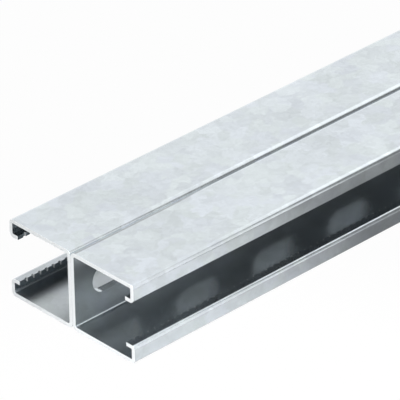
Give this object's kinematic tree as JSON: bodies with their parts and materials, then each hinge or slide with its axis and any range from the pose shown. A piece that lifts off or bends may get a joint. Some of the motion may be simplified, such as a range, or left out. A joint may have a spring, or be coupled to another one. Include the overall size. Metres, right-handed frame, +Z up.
{
  "type": "double strut channel",
  "caption": "Galvanised steel strut rail: two lipped C channels back to back, with slotted webs and toothed return lips.",
  "frame": {"origin": "middle of the rail's length and width, on the plane of its lower flanges", "axes": "+X along the rail, away from the near end; +Y across it, out of the left channel's mouth; +Z up, parallel to the webs"},
  "size_m": [0.3, 0.082, 0.041],
  "materials": {
    "galvanised_steel": "satin"
  },
  "bodies": {
    "root": {"channel_left": "galvanised_steel", "channel_right": "galvanised_steel"}
  },
  "joints": []
}
